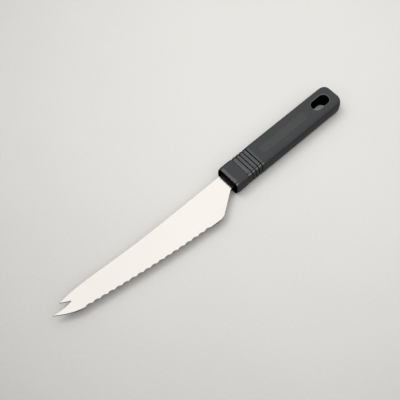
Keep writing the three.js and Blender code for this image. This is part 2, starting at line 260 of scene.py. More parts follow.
class CoreSizes(bpy.types.PropertyGroup):
    """Sizes of the core in the handle's bore, and of the tang that it holds."""

    fit_gap: size("Fit gap", "Core to bore, and tang to core", 0.3 * MM)
    mouth_depth: size("Mouth depth", "Handle's rim to the core's face", CORE_LOW.x - MOUTH.x)
    end: size("End", "Handle's rim to the core's far end", CORE_HIGH.x - MOUTH.x)
    half_width: size("Half width", "Half the core's width", (CORE_HIGH.y - CORE_LOW.y) / 2)
    half_height: size("Half height", "Half the core's thickness", (CORE_HIGH.z - CORE_LOW.z) / 2)
    side_rounding: size("Side rounding", "How far the core's curved side reaches in", 3.6 * MM)
    edge_ease: size("Edge ease", "Small rounding of the core's ends", 0.3 * MM)
    side_wall: size("Side wall", "Core beside the tang", 2.2 * MM)
    tang_end: size("Tang end", "Handle's rim to the tang's end", BLADE_HIGH.x - MOUTH.x)
    tang_corner: size("Tang corner", "Corner radius of the tang's end", 4 * MM)
    lock_hole: size("Locking hole", "Diameter of the tang's holes", 5 * MM)
    lock_setback: size("Locking hole setback", "From the tang's shoulder and from its end", 14 * MM)


class Finishes(bpy.types.PropertyGroup):
    """Colours of the finishes."""

    steel: colour("Steel", "Satin face of the blade", (0.95, 0.92, 0.885))
    steel_streak: colour("Steel streak", "Darker streaks of the satin face", (0.925, 0.895, 0.86))
    # The sheared colours are dull steel and painted shade: far darker than steel, they draw a dark line
    # along the stamped edge
    sheared: colour("Sheared steel", "Dull stamped edge of the sheet", (0.075, 0.062, 0.054))
    sheared_streak: colour("Sheared streak", "Darker streaks of that edge", (0.05, 0.041, 0.036))
    plastic: colour("Plastic", "Handle's skin", (0.0115, 0.0125, 0.0155))
    plastic_cloud: colour("Plastic cloud", "Slightly paler patches of the skin", (0.0155, 0.0165, 0.0195))
    label: colour("Label", "Floor of the shallow recess", (0.0285, 0.0265, 0.0275))
    label_cloud: colour("Label cloud", "Slightly paler patches of that floor", (0.0335, 0.0315, 0.0325))
    # The rim colours are a paler pressed rim and a painted highlight, which draw thin light lines round the
    # hole and the recess
    rim: colour("Rim", "Pressed rims of the hole and the recess", (0.09, 0.1, 0.108))
    rim_and_highlight_cloud: colour("Rim cloud", "Slightly paler patches of the rims", (0.105, 0.116, 0.125))
    plastic_wear: colour("Plastic wear", "Rubbed edges of the plastic", (0.04, 0.046, 0.05))
    # The recess colours are painted shade: near-black, far darker than the skin, where shade falls in the
    # grooves, mouth and hole
    recess: colour("Recess", "Unpolished plastic in grooves, mouth and hole", (0.002, 0.002, 0.0022))
    painted_shade_cloud: colour("Recess cloud", "Paler patches of the same", (0.004, 0.004, 0.0042))
    core: colour("Core", "Core behind the mouth", (0.0135, 0.0128, 0.0122))
    core_cloud: colour("Core cloud", "Paler patches of the core", (0.0195, 0.0185, 0.0177))
    # The table and its shade paint a pool of light on the floor, brightest round the knife and darker
    # further out
    table: colour("Table", "Floor under the knife", (0.818, 0.817, 0.801))
    painted_table_shade: colour("Table shade", "Floor far from the knife", (0.535, 0.53, 0.517))
    # The bounce colour is painted shade: the floor, where the knife mirrors it, is far darker than where it
    # is seen
    table_bounce_painted_shade: colour("Table bounce", "Floor as the knife mirrors it", (0.32, 0.317, 0.31))


class StageSetup(bpy.types.PropertyGroup):
    """Camera, lamps and room."""

    target: position("Target", "Place that the camera looks at", (1.574 * MM, 10.255 * MM, 0))
    azimuth: angle("Azimuth", "Camera's turn round the knife, where 0 looks along +Y", -43.157)
    elevation: angle("Elevation", "Camera's height above the horizon", 61.423)
    roll: angle("Roll", "Camera's turn about its own axis", 0.477)
    distance: size("Distance", "Camera to target", 769.23 * MM)
    lens: FloatProperty(
        name="Lens", description="Focal length in mm", default=90, min=1, subtype="DISTANCE_CAMERA"
    )
    key_place: position("Key place", "Middle of the large soft lamp", (-0.705, 1.616, 4.0))
    key_width: size("Key width", "Large soft lamp, along the knife", 1.23)
    key_height: size("Key height", "Large soft lamp, across the knife", 1.86)
    key_power: power("Key power", "Power of the large soft lamp", 32)
    glint_place: position("Glint place", "Middle of the small low lamp", (-0.2, -0.88, 0.58))
    glint_side: size("Glint side", "Side of the small low lamp", 0.5)
    glint_power: power("Glint power", "Power of that lamp, which only lights the handle's gloss", 6)
    room_fill: share("Room fill", "Light from straight above, which fades towards the walls", 1.68)
    near_glow: share("Near glow", "Mirrored room behind the camera, where 1 is white", 0.87)
    left_glow: share("Left glow", "Mirrored room beyond the fork, where 1 is white", 0.58)
    low_near_glow: share("Low near glow", "Mirrored room near the floor, behind the camera", 0.95)
    low_far_glow: share("Low far glow", "Mirrored room near the floor, beyond the spine", 0.3)
    # Middle and reach of the pool of light painted into the floor's colour
    painted_light_middle: position("Pool middle", "Brightest place of the floor", (0.13, 0.045, 0))
    painted_light_reach: size("Pool reach", "Brightest place of the floor to where it is in shade", 0.35)
    room_tint: colour("Room tint", "Colour of the room's light", (1.0, 0.985, 0.96))
    floor_reach: size("Floor reach", "Half the floor's side", 3)


def bezier(controls, steps):
    """Points along a curve of any degree, without its first."""
    points = []
    for step in range(1, steps + 1):
        row = controls
        while len(row) > 1:
            row = [first.lerp(second, step / steps) for first, second in zip(row, row[1:])]
        points.append(row[0])
    return points


def eased(points, reach):
    """A row of points with its inner corners rounded."""
    rounded = [points[0]]
    for before, corner, after in zip(points, points[1:], points[2:]):
        back = before - corner
        ahead = after - corner
        start = corner + back.normalized() * min(reach, MOST_EASE * back.length)
        end = corner + ahead.normalized() * min(reach, MOST_EASE * ahead.length)
        rounded += [start, *bezier([start, corner, end], ROUND_STEPS)]
    return [*rounded, points[-1]]


def arc(centre, radius, start, end, steps):
    """Points of an arc in the plane, between two angles in degrees."""
    points = []
    for step in range(steps + 1):
        turn = math.radians(start + (end - start) * step / steps)
        points.append(centre + radius * Vector((math.cos(turn), math.sin(turn))))
    return points


def quarter_turns(steps):
    """Even angles from 0 to a quarter turn."""
    return [math.pi / 2 * step / steps for step in range(steps + 1)]


def at_height(points, z):
    """Flat points lifted to a height above the middle of the blade's thickness."""
    return [Vector((point.x, point.y, z)) for point in points]


def distances_along(points):
    """Distance of each point from the first, along the row."""
    reached = [0.0]
    for first, second in zip(points, points[1:]):
        reached.append(reached[-1] + (second - first).length)
    return reached


def points_along(points, distances):
    """Points at the given distances along a row of points."""
    reached = distances_along(points)
    found = []
    for distance in distances:
        index = min(bisect.bisect_right(reached, distance), len(points) - 1)
        span = reached[index] - reached[index - 1]
        found.append(points[index - 1].lerp(points[index], (distance - reached[index - 1]) / span))
    return found


def add_object(name, data):
    """A new object in the scene."""
    added = bpy.data.objects.new(name, data)
    bpy.context.scene.collection.objects.link(added)
    return added


def add_mesh(name, shape):
    """A new object of a finished mesh."""
    mesh = bpy.data.meshes.new(name)
    shape.to_mesh(mesh)
    shape.free()
    return add_object(name, mesh)


def loft(name, loops, finishes=None):
    """A closed mesh through loops of equal length, drawn from the mouth, with a finish for each strip."""
    shape = bmesh.new()
    rings = [[shape.verts.new(MOUTH + point) for point in loop] for loop in loops]
    finishes = finishes or [0] * (len(loops) - 1)
    for ring, following, finish in zip(rings, rings[1:], finishes):
        for side, corner in enumerate(ring):
            after = (side + 1) % len(ring)
            face = shape.faces.new((corner, ring[after], following[after], following[side]))
            face.material_index = finish
    shape.faces.new(rings[0][::-1]).material_index = finishes[0]
    shape.faces.new(rings[-1]).material_index = finishes[-1]
    bmesh.ops.remove_doubles(shape, verts=shape.verts, dist=WELD_DISTANCE)
    bmesh.ops.recalc_face_normals(shape, faces=shape.faces)
    return add_mesh(name, shape)


def prism(name, outline, half_height):
    """A solid of one outline, as far above the middle of the blade's thickness as below."""
    return loft(name, [at_height(outline, -half_height), at_height(outline, half_height)])


def cut(piece, cutter):
    """Cuts one closed mesh out of another and discards the cutter."""
    modifier = piece.modifiers.new("cut", "BOOLEAN")
    modifier.operation = "DIFFERENCE"
    modifier.solver = "MANIFOLD"
    modifier.object = cutter
    graph = bpy.context.evaluated_depsgraph_get()
    mesh = bpy.data.meshes.new_from_object(piece.evaluated_get(graph))
    if len(mesh.polygons) == 0:
        raise RuntimeError(f"cutting {piece.name} left nothing")
    piece.modifiers.clear()
    piece.data = mesh
    bpy.data.objects.remove(cutter)


def dress(piece, materials):
    """Gives a piece its finishes, in the order that its faces count them."""
    for material in materials:
        piece.data.materials.append(material)


def even_shading(piece):
    """Lets broad faces lead the shading, so that they look flat."""
    even = piece.modifiers.new("even_shading", "WEIGHTED_NORMAL")
    even.keep_sharp = True


def shade(piece):
    """Smooth shading of a moulded piece, which breaks at its crisp edges."""
    piece.data.shade_smooth()
    piece.data.set_sharp_from_angle(angle=math.radians(MOULDED_CREASE))
    even_shading(piece)


def install(piece, node):
    """Puts a finished piece in the place of its packed node."""
    piece.data.name = piece.name
    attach(piece, BODY)
    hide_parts(node)


def section(x, half_width, half_height, rounding, fullness):
    """Cross-section that is flat above and below, with full curves at both sides."""
    quarter = []
    for turn in quarter_turns(SECTION_STEPS):
        y = half_width - rounding + rounding * math.cos(turn) ** (2 / fullness)
        quarter.append((y, half_height * math.sin(turn) ** (2 / fullness)))
    upper = quarter + [(-y, z) for y, z in reversed(quarter)]
    lower = [(y, -z) for y, z in reversed(upper[1:-1])]
    return [Vector((x, y, z)) for y, z in upper + lower]


def slot_loop(middle, z, length, width, grow):
    """Slot with round ends, grown all round."""
    reach = Vector(((length - width) / 2, 0))
    centre = Vector((middle, 0))
    radius = width / 2 + grow
    right = arc(centre + reach, radius, -90, 90, HOLE_STEPS)
    left = arc(centre - reach, radius, 90, 270, HOLE_STEPS)
    return at_height(right + left, z)


def half_width_at(x, handle):
    """Half the handle's width at a distance from the mouth."""
    taper = handle.back_width - handle.front_width
    return (handle.front_width + taper * x / handle.length) / 2


def body_start(handle):
    """Where the smooth body starts, behind the last groove."""
    rings = handle.first_ring_length + (handle.ring_count - 1) * handle.ring_length
    return handle.collar_length + handle.collar_gap + rings + handle.ring_count * handle.groove_width


def inset_station(handle, x, above, side):
    """Half sizes of the section at a distance from the mouth, set in from the full section."""
    return Vector((x, half_width_at(x, handle) - side, handle.thickness / 2 - above))


def skin_station(handle, x, above):
    """Half sizes of the section where a bevel or a ring sets the skin in."""
    return inset_station(handle, x, above, handle.side_cut_share * above)


def groove_stations(handle, start, end):
    """Half sizes of the sections at both ends of a groove's floor."""
    return [inset_station(handle, x, handle.groove_depth, handle.side_groove_depth) for x in (start, end)]


def collar_stations(handle):
    """Sections over the collar, from its bevelled mouth to its falling back."""
    stations = [
        skin_station(handle, 0, handle.collar_bevel_height),
        skin_station(handle, handle.collar_bevel_length, 0),
    ]
    for step in range(FALL_STEPS + 1):
        along = step / FALL_STEPS
        x = handle.collar_length - (1 - along) * handle.collar_fall_length
        stations.append(skin_station(handle, x, along**2 * handle.collar_fall_height))
    return stations


def ring_stations(handle):
    """Sections over the rings and the grooves round them, up to the smooth body."""
    x = handle.collar_length + handle.collar_gap
    stations = groove_stations(handle, handle.collar_length, x)
    for ring in range(handle.ring_count):
        crest = x + (handle.ring_length if ring else handle.first_ring_length)
        dip = handle.ring_dip if ring else handle.first_ring_dip
        stations += [skin_station(handle, x, dip), skin_station(handle, crest, handle.ring_crest)]
        x = crest + handle.groove_width
        stations += groove_stations(handle, crest, x)
    stations.append(skin_station(handle, x, handle.body_bevel_height))
    stations.append(skin_station(handle, x + handle.body_bevel_length, 0))
    return stations


def bore_stations(core):
    """Sections of the bore, from its end to the mouth."""
    bore = Vector((core.end + core.fit_gap, core.half_width + core.fit_gap, core.half_height + core.fit_gap))
    return [bore, Vector((0, bore.y, bore.z))]


def front_finishes(stations, handle):
    """Finish of each strip between stations: painted shade deep in a groove, in the mouth and in the bore.
    """
    deep = (handle.thickness - handle.groove_depth) / 2
    middles = [(first.z + second.z) / 2 for first, second in zip(stations, stations[1:])]
    return [PAINTED_SHADE if middle < deep else SKIN for middle in middles]


def end_stations(handle):
    """Sections that round the handle's end, in plan and through the thickness."""
    stations = []
    for turn in quarter_turns(END_STEPS):
        x = handle.length - handle.end_corner * (1 - math.sin(turn))
        half_width = half_width_at(x, handle) - handle.end_corner * (1 - math.cos(turn))
        fall_start = handle.length - handle.end_edge_length
        along = min(max(0, x - fall_start) / handle.end_edge_length, 1)
        fall = handle.end_edge_height * (1 - math.sqrt(1 - along**2))
        stations.append(Vector((x, half_width, handle.thickness / 2 - fall)))
    return stations


def rim_levels(top, edge):
    """Heights of a cutter whose rim rounds over onto a face, each with how far it has grown there."""
    levels = []
    for turn in quarter_turns(ROUND_STEPS):
        levels.append((top - edge * (1 - math.sin(turn)), edge * (1 - math.cos(turn))))
    levels.append((top + CUT_PAST, edge))
    return levels


def hanging_hole(handle):
    """Cutter for the hanging hole, with a rounded rim on both faces."""
    upper = rim_levels(handle.thickness / 2, handle.hole_edge)
    lower = [(-height, grow) for height, grow in reversed(upper)]
    middle = handle.length - handle.hole_from_end
    loops = [slot_loop(middle, z, handle.hole_length, handle.hole_width, grow) for z, grow in lower + upper]
    # The hole's rims get the pale rim finish with its painted highlight, and its wall the painted shade of
    # the recesses
    rim = [PALE_RIM_AND_HIGHLIGHT] * (len(upper) - 1)
    return loft("hole_cutter", loops, [*rim, PAINTED_SHADE, *rim])


def label_recess(handle):
    """Cutter for the shallow recess between the rings and the hole."""
    start = body_start(handle) + handle.label_setback
    end = handle.length - handle.hole_from_end - handle.hole_length / 2 - handle.label_to_hole
    top = handle.thickness / 2
    floor = top - handle.label_depth
    rim = rim_levels(top, handle.label_edge)
    levels = [(floor, -handle.label_edge), (floor, 0), *rim]
    loops = [slot_loop((start + end) / 2, z, end - start, handle.label_width, grow) for z, grow in levels]
    # The lower, steeper strips of the rim get the painted shade of the recesses, and the rest the pale rim
    # with its painted highlight
    steep = ROUND_STEPS // 2
    finishes = [LABEL, PAINTED_SHADE] + [PAINTED_SHADE] * steep + [PALE_RIM_AND_HIGHLIGHT] * (len(rim) - 1 - steep)
    return loft("label_cutter", loops, finishes)


def make_handle(handle, core, finish):
    """The handle's moulding, with its bore, collar, rings, recess and hole."""
    end = end_stations(handle)
    front = [*bore_stations(core), *collar_stations(handle), *ring_stations(handle), end.pop(0)]
    front = eased(front, handle.edge_ease)
    loops = [section(*station, handle.side_rounding, handle.side_fullness) for station in front + end]
    worn = finish.plastic_wear
    materials = [
        moulded_plastic("moulded_plastic", finish.plastic, finish.plastic_cloud, worn, SKIN_ROUGHNESS),
        recess_plastic(finish),
        moulded_plastic("label_plastic", finish.label, finish.label_cloud, worn, LABEL_ROUGHNESS),
        moulded_plastic("rim_plastic", finish.rim, finish.rim_and_highlight_cloud, worn, RIM_ROUGHNESS),
    ]
    piece = loft("handle_moulding", loops, front_finishes(front, handle) + [SKIN] * len(end))
    dress(piece, materials)
    for cutter in (hanging_hole(handle), label_recess(handle)):
        dress(cutter, materials)
        cut(piece, cutter)
    shade(piece)
    install(piece, "handle")


def tang_outline(core, start, grow):
    """Outline of the tang from its lower shoulder round the end to its upper shoulder."""
    half_width = core.half_width - core.side_wall + grow
    corner = core.tang_corner + grow
    end = core.tang_end + grow
    lower = arc(Vector((end - corner, corner - half_width)), corner, -90, 0, CIRCLE_STEPS // 4)
    upper = arc(Vector((end - corner, half_width - corner)), corner, 0, 90, CIRCLE_STEPS // 4)
    return [Vector((start, -half_width)), *lower, *upper, Vector((start, half_width))]


def plug(x, radius, half_height):
    """Upright cylinder on the centre line."""
    circle = arc(Vector((x, 0)), radius, 0, 360, CIRCLE_STEPS)[:-1]
    return prism("plug", circle, half_height)


def lock_places(core):
    """Places of the tang's two locking holes."""
    shoulder = core.mouth_depth - core.fit_gap
    return shoulder + core.lock_setback, core.tang_end - core.lock_setback


def fork_outline(blade, neck_top, shoulder):
    """Upper half of the outline: spine, crest, shorter prong, notch and the longer prong's inner edge."""
    tip = -blade.length
    crest = tip + blade.crest_setback
    rise = crest + blade.spine_straight
    straight_end = Vector((-blade.spine_straight, neck_top))
    crest_point = Vector((crest, blade.crest_height))
    notch = Vector((tip + blade.notch_setback, blade.notch_height))
    short_prong = Vector((tip + blade.short_prong_setback, blade.short_prong_height))
    hollow = Vector((tip + blade.hollow_setback, blade.hollow_height))
    notch_start = notch + (short_prong - notch).normalized() * blade.notch_rounding
    notch_end = notch + (hollow - notch).normalized() * blade.notch_rounding
    spine = [
        straight_end,
        straight_end + Vector((blade.spine_ease_out * rise, 0)),
        Vector((straight_end.x + blade.spine_ease_in * rise, blade.crest_height)),
        crest_point,
    ]
    prong_back = Vector((tip + blade.prong_back_setback, blade.crest_height))
    return [
        Vector((shoulder, neck_top)),
        straight_end,
        *bezier(spine, CURVE_STEPS),
        *bezier([crest_point, prong_back, short_prong], CURVE_STEPS // 2),
        notch_start,
        *bezier([notch_start, notch, notch_end], CURVE_STEPS // 4),
        *bezier([notch_end, hollow, Vector((tip, blade.tip_height))], CURVE_STEPS // 2),
    ]


def belly_and_edge(blade):
    """Belly and cutting edge before grinding, each from the end of the one before."""
    tip = Vector((-blade.length, blade.tip_height))
    belly_bend = Vector((-blade.length + blade.belly_bend_setback, -blade.belly_bend_drop))
    belly_end = Vector((-blade.length + blade.belly_length, -blade.belly_drop))
    slope = belly_end - belly_bend
    edge_bend = belly_end + slope * (blade.edge_bend_reach / slope.x)
    heel = Vector((-blade.heel_setback - blade.heel_rounding, -blade.heel_drop))
    belly = bezier([tip, belly_bend, belly_end], CURVE_STEPS)
    edge = [belly_end, *bezier([belly_end, edge_bend, heel], EDGE_STEPS)]
    return belly, edge


def heel_outline(blade, neck_bottom, shoulder):
    """Heel's corner, heel slope and the lower side of the neck."""
    heel = Vector((-blade.heel_setback, -blade.heel_drop))
    neck = Vector((-blade.neck_length, neck_bottom))
    slope = (neck - heel).normalized()
    corner = [heel - Vector((blade.heel_rounding, 0)), heel, heel + slope * blade.heel_rounding]
    fillet = [neck - slope * blade.neck_fillet, neck, neck + Vector((blade.neck_fillet, 0))]
    return [
        *bezier(corner, CURVE_STEPS // 4),
        fillet[0],
        *bezier(fillet, CURVE_STEPS // 4),
        Vector((shoulder, neck_bottom)),
    ]


def grind_reach(along, count, blade):
    """How far the nearest scallop's wheel reaches in on the upper face, below 0 where it stays out.

    Each wheel is a cylinder that leans out of the sheet by the bevel's angle, so that it meets the upper
    face in an arc of the scallop's pitch and depth.
    """
    rise = math.sin(blade.scallop_bevel)
    sagitta = blade.scallop_depth * rise
    radius = blade.scallop_pitch**2 / (8 * sagitta) + sagitta / 2
    nearest = min(max(math.floor(along / blade.scallop_pitch), 0), count - 1)
    offset = along - (nearest + 0.5) * blade.scallop_pitch
    return (math.sqrt(max(0, radius**2 - offset**2)) - radius + sagitta) / rise


def ground_edge(blade):
    """Points of the belly and the edge, each with how far the grinding reaches in there."""
    belly, edge = belly_and_edge(blade)
    edge_length = distances_along(edge)[-1]
    count = int((edge_length - blade.plain_heel) / blade.scallop_pitch)
    step = blade.scallop_pitch / SCALLOP_STEPS
    places = [number * step for number in range(1, int(edge_length / step))]
    reached = distances_along(belly)
    row = [(point, along - reached[-1]) for point, along in zip(belly, reached)]
    row += zip(points_along(edge, places), places)
    row.append((edge[-1], edge_length))
    return [(point, grind_reach(along, count, blade)) for point, along in row]


def sides_of_points(points):
    """The stretches of a closed outline that lead to each of its points and on from it."""
    leading = [point - before for before, point in zip([points[-1], *points], points)]
    return list(zip(leading, [*leading[1:], leading[0]]))


def inward_normals(points):
    """Direction into a closed outline at each of its points."""
    normals = []
    for back, ahead in sides_of_points(points):
        along = (back.normalized() + ahead.normalized()).normalized()
        normals.append(Vector((-along.y, along.x)))
    return normals


def sharp_corners(points):
    """Points of a closed outline where it turns sharply."""
    limit = math.radians(SHARP_CORNER)
    sides = sides_of_points(points)
    return [point for point, (back, ahead) in zip(points, sides) if back.angle(ahead) > limit]


def blade_loops(blade, core):
    """Four loops of the sheet: upper face, top and bottom of the side wall, lower face."""
    shoulder = core.mouth_depth - core.fit_gap
    before = fork_outline(blade, blade.neck_offset + blade.neck_half_width, shoulder)
    ground = ground_edge(blade)
    after = heel_outline(blade, blade.neck_offset - blade.neck_half_width, shoulder)
    after += tang_outline(core, shoulder, 0)
    outline = before + [point for point, reach in ground] + after
    unground = -blade.length
    reaches = [unground] * len(before) + [reach for point, reach in ground] + [unground] * len(after)
    corners = sharp_corners(outline)
    half = blade.thickness / 2
    slant = math.tan(blade.scallop_bevel)
    loops = [[], [], [], []]
    for point, inward, reach in zip(outline, inward_normals(outline), reaches):
        clear = min((point - corner).length for corner in corners)
        ease = blade.edge_ease * min(1, clear / blade.ease_runout)
        upper = max(0, reach)
        lower = max(0, reach + blade.thickness / slant)
        wall_foot = min(half, max(-half, half + reach * slant))
        top_ease = 0 if upper else min(ease, (half - wall_foot) / 2)
        foot_ease = 0 if lower else ease
        loops[0] += at_height([point + inward * (upper + top_ease)], half)
        loops[1] += at_height([point + inward * upper], half - top_ease)
        loops[2] += at_height([point + inward * upper], wall_foot + foot_ease)
        loops[3] += at_height([point + inward * (lower + foot_ease)], -half)
    return loops


def steel_finish(face):
    """Finish of a face of the sheet: its stamped edge, a ground scallop of its underside, or plain satin."""
    if abs(face.normal.z) < LEAST_FLAT:
        return SHEARED_AND_PAINTED_SHADE
    return GROUND if LEAST_GROUND < -face.normal.z < MOST_GROUND else SATIN


def mark_grinding(piece):
    """Gives ground faces and the stamped edge their own finish, and ground faces crisp borders."""
    shape = bmesh.new()
    shape.from_mesh(piece.data)
    for face in shape.faces:
        face.smooth = True
        face.material_index = steel_finish(face)
    for edge in shape.edges:
        touches = any(face.material_index == GROUND for face in edge.link_faces)
        limit = GROUND_CREASE if touches else STEEL_CREASE
        edge.smooth = edge.calc_face_angle(0) < math.radians(limit)
    shape.to_mesh(piece.data)
    shape.free()
    even_shading(piece)


def make_blade(blade, core, finish):
    """The blade's sheet, from the fork to the tang."""
    piece = loft("blade_sheet", blade_loops(blade, core))
    for x in lock_places(core):
        cut(piece, plug(x, core.lock_hole / 2, blade.thickness))
    piece.data.materials.clear()
    dress(piece, [satin_steel(finish), ground_steel(finish), sheared_steel(finish)])
    mark_grinding(piece)
    install(piece, "blade")


def make_core(core, blade, handle, finish):
    """The core that is cast round the tang and closes the mouth."""
    full = Vector((0, core.half_width, core.half_height))
    small = full - Vector((0, core.edge_ease, core.edge_ease))
    front = Vector((core.mouth_depth, 0, 0))
    back = Vector((core.end, 0, 0))
    stations = eased([front + small, front + full, back + full, back + small], core.edge_ease)
    loops = [section(*station, core.side_rounding, handle.side_fullness) for station in stations]
    piece = loft("core_bar", loops)
    outline = tang_outline(core, core.mouth_depth - CUT_PAST, core.fit_gap)
    half_pocket = blade.thickness / 2 + core.fit_gap
    pocket = prism("pocket", outline, half_pocket)
    for x in lock_places(core):
        cut(pocket, plug(x, core.lock_hole / 2 - core.fit_gap, 2 * half_pocket))
    cut(piece, pocket)
    piece.data.materials.clear()
    dress(piece, [core_plastic(finish)])
    shade(piece)
    install(piece, "tang_core")


def start_material(name, metallic=0):
    """A new material with a bare surface shader."""
    material = bpy.data.materials.new(name)
    material.use_nodes = True
    tree = material.node_tree
    tree.nodes.clear()
    output = tree.nodes.new("ShaderNodeOutputMaterial")
    shader = tree.nodes.new("ShaderNodeBsdfPrincipled")
    shader.inputs["Metallic"].default_value = metallic
    tree.links.new(shader.outputs["BSDF"], output.inputs["Surface"])
    return material, tree, shader


def wire(tree, shader, base, roughness, normal):
    """Links a surface's colour, roughness and relief."""
    tree.links.new(base, shader.inputs["Base Color"])
    tree.links.new(roughness, shader.inputs["Roughness"])
    tree.links.new(normal, shader.inputs["Normal"])


def add_node(tree, kind, inputs, **settings):
    """A new node with its settings, and its sockets set or linked."""
    node = tree.nodes.new(kind)
    for name, value in settings.items():
        setattr(node, name, value)
    for socket, value in inputs.items():
        if isinstance(value, bpy.types.NodeSocket):
            tree.links.new(value, node.inputs[socket])
        else:
            node.inputs[socket].default_value = value
    return node


def noise(tree, per_metre, detail, roughness=0.5):
    """Noise with its own count of waves per metre along each axis."""
    place = add_node(tree, "ShaderNodeTexCoord", {}).outputs["Object"]
    scaled = add_node(tree, "ShaderNodeMapping", {"Vector": place, "Scale": per_metre}).outputs["Vector"]
    inputs = {"Vector": scaled, "Scale": 1.0, "Detail": detail, "Roughness": roughness}
    return add_node(tree, "ShaderNodeTexNoise", inputs).outputs["Fac"]


def ranged(tree, value, low, high, to_low=0, to_high=1):
    """A value carried from one range to another."""
    inputs = {"Value": value, "From Min": low, "From Max": high, "To Min": to_low, "To Max": to_high}
    return add_node(tree, "ShaderNodeMapRange", inputs).outputs["Result"]


def spread(tree, value, low=0, high=1):
    """A noise carried from its usual range to another."""
    return ranged(tree, value, NOISE_LOW, NOISE_HIGH, low, high)


def math_node(tree, operation, first, second):
    """Two values joined by an operation."""
    return add_node(tree, "ShaderNodeMath", {0: first, 1: second}, operation=operation).outputs[0]


def times(tree, first, second):
    """One value times another."""
    return math_node(tree, "MULTIPLY", first, second)


def weighed(tree, first, first_share, second, second_share):
    """Two values added by their shares."""
    return math_node(tree, "ADD", times(tree, first, first_share), times(tree, second, second_share))


def mixed(tree, factor, first, second):
    """A colour between two others."""
    ends = [end if isinstance(end, bpy.types.NodeSocket) else (*end, 1) for end in (first, second)]
    # The node's sockets share their names, so its colours are picked by number: 6 and 7 in, 2 out
    mix = add_node(tree, "ShaderNodeMix", {0: factor, 6: ends[0], 7: ends[1]}, data_type="RGBA")
    return mix.outputs[2]


def rubbed_edges(tree, radius):
    """Mask of the convex and concave edges, broken up as wear is."""
    softened = add_node(tree, "ShaderNodeBevel", {"Radius": radius}, samples=6).outputs["Normal"]
    plain = add_node(tree, "ShaderNodeNewGeometry", {}).outputs["Normal"]
    turned = add_node(tree, "ShaderNodeVectorMath", {0: softened, 1: plain}, operation="DOT_PRODUCT")
    edges = ranged(tree, turned.outputs["Value"], low=0.995, high=0.9)
    patches = noise(tree, (260, 260, 260), detail=3)
    return times(tree, edges, ranged(tree, patches, low=0.35, high=0.65, to_low=0.35))


def bump(tree, height, strength, distance):
    """Surface normal with a fine relief."""
    inputs = {"Height": height, "Strength": strength, "Distance": distance}
    return add_node(tree, "ShaderNodeBump", inputs).outputs["Normal"]


def satin_steel(finish):
    """Stainless steel, ground across the blade and left satin."""
    material, tree, shader = start_material("satin_steel", metallic=1)
    lines = noise(tree, (5200, 160, 160), detail=3)
    streaks = noise(tree, (700, 26, 26), detail=4, roughness=0.6)
    smudges = noise(tree, (42, 42, 42), detail=4)
    wear = rubbed_edges(tree, radius=0.1 * MM)
    tone = times(tree, streaks, spread(tree, smudges, 0.7, 1.2))
    streaked = ranged(tree, tone, low=0.25, high=0.7)
    base = mixed(tree, streaked, finish.steel, finish.steel_streak)
    bright = mixed(tree, times(tree, wear, STEEL_WEAR), base, finish.steel)
    grain = weighed(tree, lines, 0.5, smudges, 0.5)
    relief = bump(tree, lines, strength=0.03, distance=0.02 * MM)
    wire(tree, shader, bright, spread(tree, grain, 0.12, 0.17), relief)
    return material


def ground_steel(finish):
    """Brighter steel of the wheel-ground scallops."""
    material, tree, shader = start_material("ground_steel", metallic=1)
    lines = noise(tree, (3400, 90, 90), detail=4, roughness=0.65)
    smudges = noise(tree, (60, 60, 60), detail=3)
    base = mixed(tree, spread(tree, lines), finish.steel, finish.steel_streak)
    relief = bump(tree, lines, strength=0.12, distance=0.02 * MM)
    wire(tree, shader, base, spread(tree, smudges, 0.16, 0.26), relief)
    return material


def sheared_steel(finish):
    """Dull steel of the sheet's stamped edge, torn through its thickness and darkened far below steel as
    painted shade.
    """
    material, tree, shader = start_material("sheared_steel", metallic=1)
    tears = noise(tree, (2600, 2600, 240), detail=4, roughness=0.65)
    base = mixed(tree, spread(tree, tears), finish.sheared, finish.sheared_streak)
    relief = bump(tree, tears, strength=0.2, distance=0.03 * MM)
    wire(tree, shader, base, spread(tree, tears, 0.38, 0.55), relief)
    return material


def moulded_plastic(name, plain, cloud, worn, smoothest):
    """Dark moulded plastic with a fine spark-etched grain and rubbed edges."""
    material, tree, shader = start_material(name)
    grain = noise(tree, (2600, 2600, 2600), detail=2, roughness=0.6)
    clouds = noise(tree, (38, 38, 38), detail=4)
    scuffs = noise(tree, (60, 1400, 900), detail=3)
    wear = rubbed_edges(tree, radius=0.35 * MM)
    base = mixed(tree, spread(tree, clouds), plain, cloud)
    rubbed = mixed(tree, times(tree, wear, PLASTIC_WEAR), base, worn)
    matt = weighed(tree, clouds, 0.6, scuffs, 0.4)
    rough = spread(tree, matt, smoothest, smoothest + ROUGHNESS_RISE)
    polished = math_node(tree, "SUBTRACT", rough, times(tree, wear, WEAR_POLISH))
    wire(tree, shader, rubbed, polished, bump(tree, grain, strength=0.4, distance=0.04 * MM))
    shader.inputs["IOR"].default_value = 1.6
    shader.inputs["Specular Tint"].default_value = (0.95, 0.985, 1, 1)
    return material


def matt_plastic(name, plain, cloud):
    """Matt plastic that gives back hardly any light."""
    material, tree, shader = start_material(name)
    grain = noise(tree, (1800, 1800, 1800), detail=3)
    clouds = noise(tree, (120, 120, 120), detail=3)
    base = mixed(tree, spread(tree, clouds), plain, cloud)
    relief = bump(tree, grain, strength=0.25, distance=0.03 * MM)
    wire(tree, shader, base, spread(tree, grain, 0.8, 0.92), relief)
    shader.inputs["Specular IOR Level"].default_value = 0
    return material


def recess_plastic(finish):
    """Near-black plastic with no gloss in the grooves, the mouth and the hole, as painted shade."""
    return matt_plastic("recess_plastic", finish.recess, finish.painted_shade_cloud)


def core_plastic(finish):
    """Plastic of the cast core."""
    return matt_plastic("core_plastic", finish.core, finish.core_cloud)


